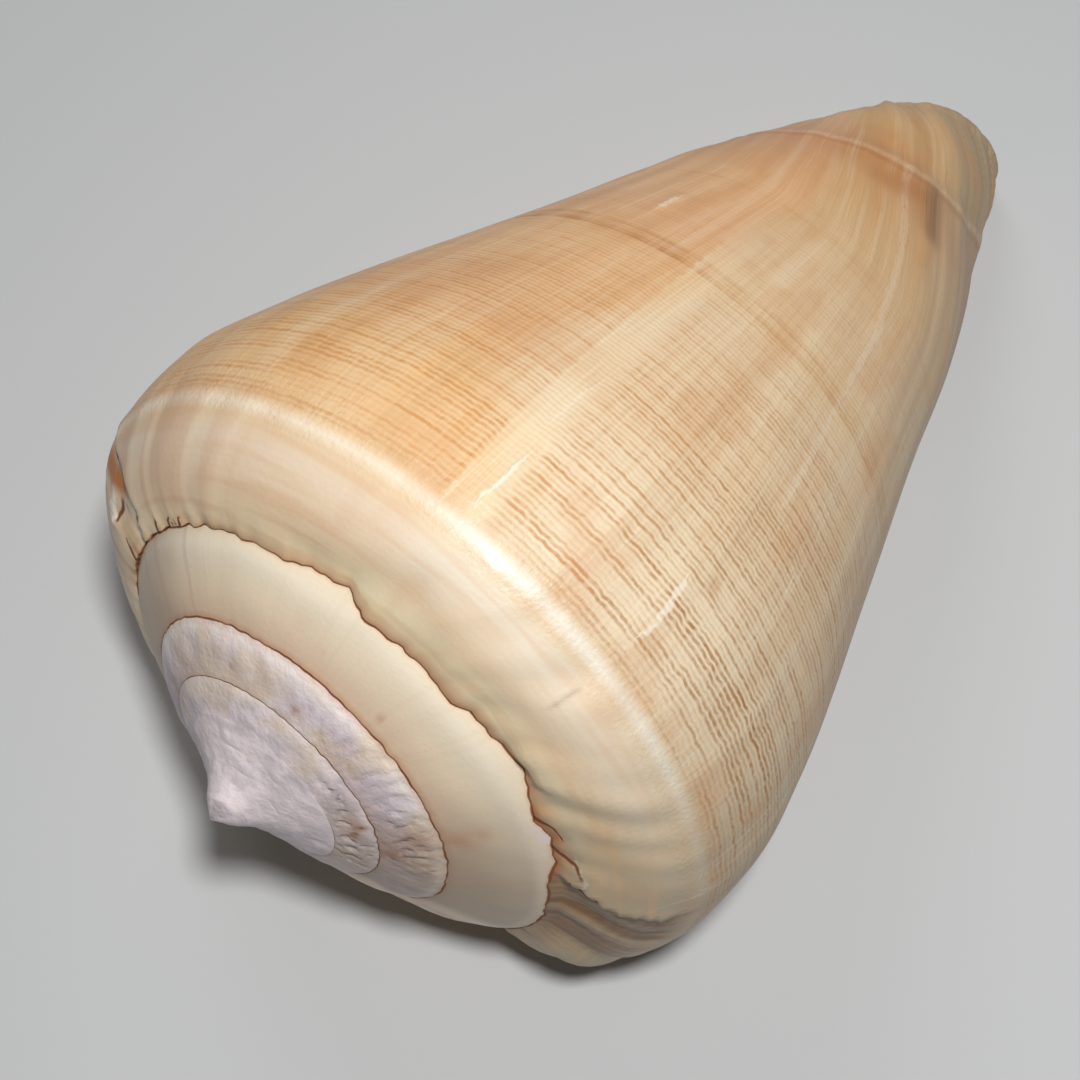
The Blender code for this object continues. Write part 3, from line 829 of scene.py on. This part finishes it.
thread_own = add(tree, "TexNoise", thread_own, noise_dimensions="4D").outputs[0]
thread_own = step(tree, thread_own, 0.30, 0.68, 0.15, 1.0)
broken = growth_cloud(330.0, 140.0, 0.0)
thread_width = step(tree, thread_own, 0.0, 1.0, 0.16, 0.30)
thread_mask = step(tree, in_thread, calc(tree, "SUBTRACT", thread_width, 0.13),
                   calc(tree, "ADD", thread_width, 0.09), 1.0, 0.0)
rest_lean = times(tree, calc(tree, "SUBTRACT", s_at, 0.15), 0.03)
rest_edge = calc(tree, "ADD", calc(tree, "ADD", growth_at, 0.3255), rest_lean)
rest_edge = calc(tree, "ADD", rest_edge, times(tree, centred(tree, broken), 0.003))
cream_band = times(tree, step(tree, rest_edge, -0.0115, -0.0085), step(tree, rest_edge, 0.013, 0.002),
                   step(tree, s_at, 0.105, 0.12), step(tree, s_at, 0.60, 0.44))
threads = times(tree, thread_mask, thread_own, levels(tree, spiral, THREAD_STRENGTHS),
                step(tree, broken, 0.25, 0.6, 0.55, 1.15),
                calc(tree, "SUBTRACT", 1.0, times(tree, cream_band, 0.72)))
thread_colour = blend(tree, step(tree, turn_at, -0.34, -0.22), EARLY_THREAD, LATE_THREAD)
threads = times(tree, threads, step(tree, turn_at, -0.36, -0.2, 0.72, 0.88))
colour = blend(tree, threads, colour, thread_colour)

# Brown bands round the coil, strongest as a double line half way along the side
BAND_COLOUR = (190, 124, 64)
BAND_STRENGTHS = [
    (0.0, 0.0), (0.111, 0.0), (0.116, 0.28), (0.122, 0.2), (0.127, 0.03), (0.255, 0.0), (0.268, 0.12),
    (0.285, 0.03), (0.450, 0.0), (0.4525, 0.65), (0.456, 0.5), (0.459, 0.18), (0.465, 0.15), (0.4675, 0.55),
    (0.470, 0.4), (0.473, 0.0), (0.5, 0.0), (0.505, 0.12), (0.51, 0.0), (0.600, 0.0), (0.6025, 0.28),
    (0.605, 0.0), (0.715, 0.0), (0.74, 0.2), (0.765, 0.0)]
band_cloud = growth_cloud(60.0, 16.0, 1.0)
band = times(tree, levels(tree, spiral, BAND_STRENGTHS), step(tree, band_cloud, 0.3, 0.65, 0.35, 1.3),
             step(tree, turn_at, -0.35, -0.30, 1.0, 0.55))
colour = blend(tree, band, colour, BAND_COLOUR)

# Growth streaks: fine light and dark ones along every lip of the past, broader ones between rests, and
# bands across the ramp at the older end of the last whorl
LIGHT_STREAK = (252, 240, 214)
DARK_STREAK = (190, 140, 92)
TAN_PATCH = (208, 146, 92)
REST_CREAM = (250, 234, 200)
RAMP_TAN = (222, 180, 136)
RAMP_DARK_STREAK = (196, 152, 122)
RAMP_LIGHT_STREAK = (250, 232, 206)
fine = growth_cloud(420.0, 7.0, 2.0, 0.6)
broad = growth_cloud(70.0, 3.0, 1.5)
patches = growth_cloud(30.0, 13.0, 2.0)
soft = growth_cloud(11.0, 75.0, 1.0)
streak = calc(tree, "ADD", step(tree, fine, 0.28, 0.72, -0.5, 0.5), step(tree, broad, 0.3, 0.7, -0.5, 0.5))
seen = step(tree, s_at, 0.09, 0.13, 0.12, 1.0)
left_side = greatest(tree, times(tree, step(tree, turn_at, -0.405, -0.47), last_whorl),
                     times(tree, step(tree, turn_at, -1.42, -1.48), step(tree, turn_at, -1.9, -1.7), 0.8))
ramp_streak = times(tree, left_side, step(tree, s_at, 0.16, 0.09), step(tree, broad, 0.42, 0.62, -0.24, 0.34))
for share, tone in ((0.24, LIGHT_STREAK), (-0.22, DARK_STREAK)):
    colour = blend(tree, positive(tree, times(tree, streak, seen, share)), colour, tone)
patched = times(tree, step(tree, patches, 0.5, 0.66, 0.0, 0.24), step(tree, s_at, 0.06, 0.15, 0.5, 1.0))
colour = blend(tree, patched, colour, TAN_PATCH)
rested = times(tree, cream_band, step(tree, fine, 0.35, 0.6, 0.55, 0.15))
colour = blend(tree, rested, colour, REST_CREAM)
softened = times(tree, step(tree, soft, 0.48, 0.66, 0.0, 0.34), step(tree, s_at, 0.12, 0.08))
colour = blend(tree, softened, colour, RAMP_TAN)
colour = blend(tree, positive(tree, ramp_streak), colour, RAMP_DARK_STREAK)
colour = blend(tree, positive(tree, times(tree, ramp_streak, -1.0)), colour, RAMP_LIGHT_STREAK)

# White streaks, stains, and the ridge and grooves of the anterior end, with painted shade in its diagonal
# groove
WHITE = (254, 248, 236)
BROWN_STAIN = (186, 118, 62)
# Dark stains, which also carry painted shade in the low stretch at the lip's corner
DARK_STAIN_AND_SHADE = (122, 84, 52)
CREST_CREAM = (246, 226, 190)
BROWN_LINE_AND_GROOVE_SHADE = (150, 100, 66)
LINE_OFF_RIDGE = 0.75       # millimetres from the ridge to the brown line on its spire side
white_line = unsigned(tree, calc(tree, "ADD", white_at, times(tree, centred(tree, broken), 0.35)))
white_line = times(tree, step(tree, white_line, 0.17, 0.02), white_zone,
                   step(tree, broken, 0.2, 0.5, 0.5, 1.0))
colour = blend(tree, white_line, colour, WHITE)
# The dark marks are stains, and partly painted shade in the low stretch at the lip's corner
for mask, tone in ((brown_at, BROWN_STAIN), (dark_at, DARK_STAIN_AND_SHADE)):
    stained = step(tree, calc(tree, "ADD", mask, times(tree, streak, 0.15)), 0.1, 0.9)
    colour = blend(tree, stained, colour, tone)
crest = times(tree, step(tree, unsigned(tree, ridge_at), 0.6, 0.1), step(tree, broken, 0.2, 0.6, 0.06, 0.24))
colour = blend(tree, crest, colour, CREST_CREAM)
# A brown line on the spire side of the ridge, and painted shade along the diagonal groove beyond it
front_line_and_groove_shade = step(tree, unsigned(tree, calc(tree, "SUBTRACT", ridge_at, LINE_OFF_RIDGE)), 0.45, 0.1)
front_line_and_groove_shade = greatest(tree, times(tree, front_line_and_groove_shade, 0.22), step(tree, groove_at, 0.9, 0.1, 0.0, 0.22))
colour = blend(tree, front_line_and_groove_shade, colour, BROWN_LINE_AND_GROOVE_SHADE)

# The spire: a cream whorl, then greyish lilac and worn ones up to the apex, with painted shade in stretches
# on the lower side
FIRST_WHORL = [(0.0, (208, 160, 126)), (0.10, (234, 206, 178)), (0.5, (246, 228, 200)),
               (0.85, (254, 242, 220)), (0.96, (252, 236, 210)), (1.0, (240, 210, 176))]
SECOND_WHORL = [(0.0, (192, 166, 158)), (0.12, (216, 198, 204)), (0.5, (222, 208, 216)),
                (0.7, (236, 223, 228)), (0.88, (252, 242, 240)), (1.0, (232, 208, 196))]
APEX_DARK = (212, 200, 206)
APEX_LIGHT = (244, 232, 238)
WORN_CREAM = (236, 214, 178)
WORN_BROWN = (190, 160, 132)
WORN_WHITE = (246, 238, 240)
LILAC_WHITE = (232, 224, 234)
SPIRE_LIGHT_STREAK = (250, 240, 220)
SPIRE_DARK_STREAK = (190, 150, 110)
SPIRE_RAMP_STREAK = (196, 156, 128)
SPIRE_BROWN_STAIN = (190, 126, 72)
SPIRE_DARK_STAIN = (110, 66, 40)
SPIRE_SHADE = (166, 144, 122)
# Where painted shade lies on the spire: the stages between which it comes on, its strength, and those where
# it ends
SHADED_STRETCHES = [((-1.24, -1.10), 0.7, (-1.0, -1.03)), ((-2.24, -2.12), 0.6, (-1.99, -2.01)),
                  ((-1.46, -1.54), 0.55, (-1.9, -1.65)), ((-3.28, -3.16), 0.5, (-2.99, -3.06))]
mottle = cloud(tree, solid_place, 420.0, 2.0, 0.6)
large = cloud(tree, solid_place, 190.0, 2.0, 0.55)
worn_mask = step(tree, turn_at, -1.95, -2.05)
apex_colour = blend(tree, step(tree, mottle, 0.35, 0.65), APEX_DARK, APEX_LIGHT)
spire = blend(tree, step(tree, turn_at, -2.02, -1.98), gradient(tree, across_at, SECOND_WHORL),
              gradient(tree, across_at, FIRST_WHORL))
spire = blend(tree, step(tree, turn_at, -2.9, -3.1), spire, apex_colour)
cream = times(tree, worn_mask, step(tree, large, 0.50, 0.66), step(tree, turn_at, -4.2, -3.2, 0.0, 0.5))
spire = blend(tree, cream, spire, WORN_CREAM)
worn_brown = times(tree, worn_mask, step(tree, mottle, 0.52, 0.72, 0.0, 0.26))
spire = blend(tree, worn_brown, spire, WORN_BROWN)
worn_white = times(tree, worn_mask, step(tree, mottle, 0.48, 0.3, 0.0, 0.4))
spire = blend(tree, worn_white, spire, WORN_WHITE)
# Painted shade over those stretches, weaker near each whorl's outer edge
shade_parts = [times(tree, step(tree, turn_at, *starts, 0.0, strength), step(tree, turn_at, *ends))
              for starts, strength, ends in SHADED_STRETCHES]
spire_shade = shade_parts[0]
for part in shade_parts[1:]:
    spire_shade = greatest(tree, spire_shade, part)
spire = blend(tree, times(tree, spire_shade, step(tree, across_at, 0.75, 0.95, 1.0, 0.6)), spire, SPIRE_SHADE)
spire = blend(tree, positive(tree, times(tree, streak, 0.06)), spire, SPIRE_LIGHT_STREAK)
spire = blend(tree, positive(tree, times(tree, streak, -0.06)), spire, SPIRE_DARK_STREAK)
stain_colour = blend(tree, dark_at, SPIRE_BROWN_STAIN, SPIRE_DARK_STAIN)
spire = blend(tree, greatest(tree, times(tree, brown_at, 0.8), dark_at), spire, stain_colour)
white_patch = calc(tree, "ADD", white_at, times(tree, calc(tree, "SUBTRACT", mottle, 0.42), 1.6))
spire = blend(tree, times(tree, step(tree, white_patch, 0.45, 0.0), 0.6), spire, LILAC_WHITE)
spire = blend(tree, positive(tree, ramp_streak), spire, SPIRE_RAMP_STREAK)
colour = blend(tree, last_whorl, spire, colour)

# Sutures: a thin dark seam with dirt in it, on both sides of each joint of two whorls
SEAM_COLOUR = (142, 82, 46)
seam_wide = step(tree, cloud(tree, solid_place, 500.0, 1.0), 0.3, 0.7, 0.35, 1.3)
new_side = step(tree, calc(tree, "DIVIDE", s_at, times(tree, seam_wide, 0.0016)), 1.0, 0.45)
old_side = calc(tree, "DIVIDE", calc(tree, "SUBTRACT", 1.0, across_at), times(tree, seam_wide, 0.013))
old_side = times(tree, step(tree, old_side, 1.0, 0.5), calc(tree, "LESS_THAN", turn_at, -1.0))
seam = times(tree, greatest(tree, new_side, old_side), step(tree, turn_at, -3.4, -2.95, 0.0, 1.0))
colour = blend(tree, times(tree, seam, 0.9), colour, SEAM_COLOUR)

# The break and the cracks near the lip, dark inside, with fresh white shell along the edge of the break
CRACK_COLOUR = (120, 62, 30)
FRESH = (252, 246, 234)
jagged = calc(tree, "ADD", crack_at, times(tree, centred(tree, mottle), 0.35))
cracks = times(tree, step(tree, unsigned(tree, jagged), 0.22, 0.06), step(tree, crack_far, 0.6, 0.4))
colour = blend(tree, times(tree, cracks, 0.92), colour, CRACK_COLOUR)
fresh = times(tree, step(tree, unsigned(tree, calc(tree, "ADD", jagged, 0.46)), 0.34, 0.16),
              step(tree, turn_at, -0.546, -0.540), step(tree, turn_at, -0.518, -0.522),
              step(tree, s_at, 0.040, 0.034), step(tree, s_at, 0.003, 0.008))
colour = blend(tree, fresh, colour, FRESH)
tree.links.new(colour, surface.inputs["Base Color"])

# Gloss: silky all over, and dull on the worn spire and in seams and cracks
gloss = step(tree, fine, 0.3, 0.7, 0.40, 0.52)
gloss = calc(tree, "ADD", gloss, times(tree, worn_mask, step(tree, mottle, 0.35, 0.65, 0.08, 0.24)))
gloss = calc(tree, "ADD", gloss, times(tree, greatest(tree, seam, cracks), 0.4))
tree.links.new(gloss, surface.inputs["Roughness"])
surface.inputs["IOR"].default_value = 1.5
surface.inputs["Specular IOR Level"].default_value = 0.32
surface.inputs["Coat Weight"].default_value = 0.05
surface.inputs["Coat Roughness"].default_value = 0.10

# Fine relief in millimetres: threads, growth wrinkles, a grainy worn spire, cracks and seams
THREAD_RELIEF = [(0.0, 0.0), (0.10, 0.15), (0.12, 0.8), (0.35, 0.8), (0.5, 0.25), (0.75, 0.1), (0.85, 0.0)]
THREAD_DEPTH = 0.05
OPEN_CRACK_DEPTH = 0.022
thread = times(tree, calc(tree, "SUBTRACT", 0.5, in_thread), levels(tree, spiral, THREAD_RELIEF))
wrinkles = times(tree, growth_cloud(620.0, 60.0, 1.0, 0.6), 0.028)
wrinkles = calc(tree, "ADD", wrinkles, times(tree, fine, 0.012))
height = calc(tree, "ADD", times(tree, thread, last_whorl, -THREAD_DEPTH), times(tree, wrinkles, seen))
shoulder_grain = times(tree, step(tree, s_at, 0.085, 0.100), step(tree, s_at, 0.140, 0.122), 0.045)
grain_size = calc(tree, "ADD", step(tree, turn_at, -1.95, -2.05, 0.016, 0.055), shoulder_grain)
height = calc(tree, "ADD", height, times(tree, cloud(tree, solid_place, 2900.0, 1.0, 0.6), grain_size))
open_crack = times(tree, step(tree, unsigned(tree, crack_at), 0.2, 0.05), step(tree, crack_far, 0.55, 0.35))
height = calc(tree, "SUBTRACT", height, times(tree, open_crack, OPEN_CRACK_DEPTH))
open_seam = times(tree, step(tree, s_at, 0.0018, 0.0), step(tree, turn_at, -3.2, -2.9, 0.0, 0.05))
height = calc(tree, "SUBTRACT", height, open_seam)
bump = add(tree, "Bump", {"Height": height, "Strength": 1.0, "Distance": MILLIMETRE})
tree.links.new(bump.outputs["Normal"], surface.inputs["Normal"])

# The inside is smooth and glossy, pale in the depth and tan towards the lip and the anterior end
INSIDE_GROUND = [(0.0, (244, 232, 214)), (0.5, (248, 240, 230)), (1.0, (232, 208, 176))]
LIP_TAN = (236, 206, 160)
INSIDE_CLOUD = (226, 206, 190)
inside = bpy.data.materials.new("shell_inside")
inside.use_nodes = True
tree = inside.node_tree
surface = tree.nodes["Principled BSDF"]
_, stage_at, share_at = map_of(tree, "growth")
solid_place = add(tree, "TexCoord").outputs["Object"]
colour = gradient(tree, share_at, INSIDE_GROUND)
colour = blend(tree, step(tree, stage_at, -0.05, 0.0, 0.0, 0.6), colour, LIP_TAN)
cloudy = step(tree, cloud(tree, solid_place, 120.0, 4.0), 0.45, 0.7, 0.0, 0.35)
colour = blend(tree, cloudy, colour, INSIDE_CLOUD)
tree.links.new(colour, surface.inputs["Base Color"])
gloss = step(tree, cloud(tree, solid_place, 300.0, 3.0), 0.3, 0.7, 0.18, 0.32)
tree.links.new(gloss, surface.inputs["Roughness"])
rub = add(tree, "Bump", {"Height": cloud(tree, solid_place, 400.0, 3.0), "Strength": 0.5, "Distance": 0.0001})
tree.links.new(rub.outputs["Normal"], surface.inputs["Normal"])
surface.inputs["Coat Weight"].default_value = 0.4
surface.inputs["Coat Roughness"].default_value = 0.1

# The inside has the same maps. Only the coil and growth maps hold anything: the stage, and the share
points_across = outer_line.shape[1]
inside_s = np.concatenate([0.06 + 0.94 * np.arange(points_across) / points_across] * 2)
inside_s[points_across:] = inside_s[points_across - 1::-1]
corner_spots = np.zeros(len(cutter_mesh.loops), int)
cutter_mesh.loops.foreach_get("vertex_index", corner_spots)
corner_marks = [np.broadcast_to(m, loops.shape).reshape(-1)[corner_spots] for m in (inside_rows, inside_s)]
corner_marks = np.stack(corner_marks, axis=-1).astype(np.float32).ravel()
for label in MARK_MAPS:
    layer = cutter_mesh.uv_layers.new(name=label)
    if label in ("coil", "growth"):
        layer.data.foreach_set("uv", corner_marks)

for mesh in (shell_mesh, cutter_mesh):
    mesh.materials.append(outside)
    mesh.materials.append(inside)
cutter_mesh.polygons.foreach_set("material_index", [1] * len(cutter_mesh.polygons))

# The inside is cut out, and the shell is laid down in its resting pose
cut = shell.modifiers.new("inside", "BOOLEAN")
cut.operation = "DIFFERENCE"
cut.solver = "EXACT"
cut.object = cutter
ready = shell.evaluated_get(bpy.context.evaluated_depsgraph_get())
hollow = bpy.data.meshes.new_from_object(ready)
shell.modifiers.clear()
shell.data = hollow
bpy.data.objects.remove(cutter)
hollow.shade_smooth()
hollow.set_sharp_from_angle(angle=math.radians(60))
pose = Matrix.Rotation(-(math.pi / 2.0 + REST_DIP), 4, "X") @ Matrix.Rotation(REST_ROLL, 4, "Z")
hollow.transform(Matrix.Translation(REST_PLACE) @ pose)
# The spots that it rests on are worn flat
for vertex in hollow.vertices:
    vertex.co.z = max(vertex.co.z, 0.0)
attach(shell, "root")
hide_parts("shell")

# The floor: one wide plain board, painted pale and matt, that the shell lies on.
# It belongs to the studio and not to the shell.
FLOOR_SIZE = 3.0
FLOOR_COLOUR = (0.60, 0.62, 0.64, 1.0)
floor_mesh = bpy.data.meshes.new("floor")
half = FLOOR_SIZE / 2.0
floor_corners = [(-half, -half, 0), (half, -half, 0), (half, half, 0), (-half, half, 0)]
floor_mesh.from_pydata(floor_corners, [], [(0, 1, 2, 3)])
floor = bpy.data.objects.new("floor", floor_mesh)
bpy.context.scene.collection.objects.link(floor)
board = bpy.data.materials.new("floor")
board.use_nodes = True
paint = board.node_tree.nodes["Principled BSDF"]
paint.inputs["Base Color"].default_value = FLOOR_COLOUR
paint.inputs["Roughness"].default_value = 0.8
floor_mesh.materials.append(board)

# Light: a small soft lamp close over the camera, which gives the shoulder its bright spot, a wide one
# further off behind on the left, and a little light from the pale room all round.
ROOM_COLOUR = (1.0, 0.98, 0.96, 1.0)
ROOM_STRENGTH = 0.065
LIT_PLACE = Vector((0.0, 0.0, 0.02))
world = bpy.data.worlds.new("room")
bpy.context.scene.world = world
world.use_nodes = True
world.node_tree.nodes["Background"].inputs["Color"].default_value = ROOM_COLOUR
world.node_tree.nodes["Background"].inputs["Strength"].default_value = ROOM_STRENGTH


def lamp(name, place, size, power, colour):
    """A round lamp that faces the shell. Its size is in metres and its power in watts."""
    light = bpy.data.lights.new(name, "AREA")
    light.shape = "DISK"
    light.size = size
    light.energy = power
    light.color = colour
    item = bpy.data.objects.new(name, light)
    item.location = place
    item.rotation_euler = (LIT_PLACE - Vector(place)).to_track_quat("-Z", "Y").to_euler()
    bpy.context.scene.collection.objects.link(item)


lamp("key", (0.056, -0.022, 0.258), 0.03, 0.52, (1.0, 0.98, 0.955))
lamp("fill", (-0.36, 0.26, 0.42), 0.30, 0.60, (1.0, 0.985, 0.965))

# Camera: where the photo was taken from, close over the shell and a little to one side of it.
# Its place, turn and lens come from the fit of the coil to the photo.
CAMERA_PLACE = (0.04263, -0.04737, 0.16284)
CAMERA_TURN = (20.749, 4.051, 39.785)
LENS = 73.63
SENSOR_WIDTH = 36.0
camera_data = bpy.data.cameras.new("camera")
camera_data.lens = LENS
camera_data.sensor_width = SENSOR_WIDTH
camera_data.clip_start = 0.005
camera = bpy.data.objects.new("camera", camera_data)
camera.location = CAMERA_PLACE
camera.rotation_euler = [math.radians(a) for a in CAMERA_TURN]
bpy.context.scene.collection.objects.link(camera)
bpy.context.scene.camera = camera
bpy.context.scene.view_settings.view_transform = "Standard"
